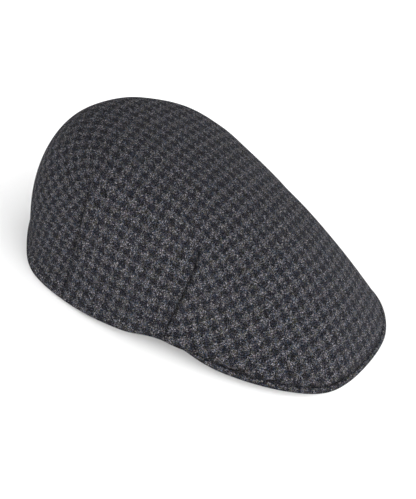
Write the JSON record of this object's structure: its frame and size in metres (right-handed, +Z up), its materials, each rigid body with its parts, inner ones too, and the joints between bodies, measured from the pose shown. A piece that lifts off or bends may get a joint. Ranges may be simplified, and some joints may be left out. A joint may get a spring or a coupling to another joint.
{
  "type": "flat cap",
  "caption": "Duckbill flat cap in charcoal houndstooth wool: a hollow cloth shell sewn down over a stiff curved peak.",
  "frame": {"origin": "on the table, below the middle of the cap's bounding box", "axes": "+Z up, -Y towards the tip of the peak, +X towards the wearer's left"},
  "size_m": [0.1806, 0.2642, 0.105],
  "materials": {
    "crown_wool": "brushed houndstooth wool, matt, charcoal and mid grey",
    "peak_wool": "brushed houndstooth wool over a stiffener, matt"
  },
  "bodies": {
    "root": {"crown": "crown_wool", "peak": "peak_wool"}
  },
  "joints": []
}
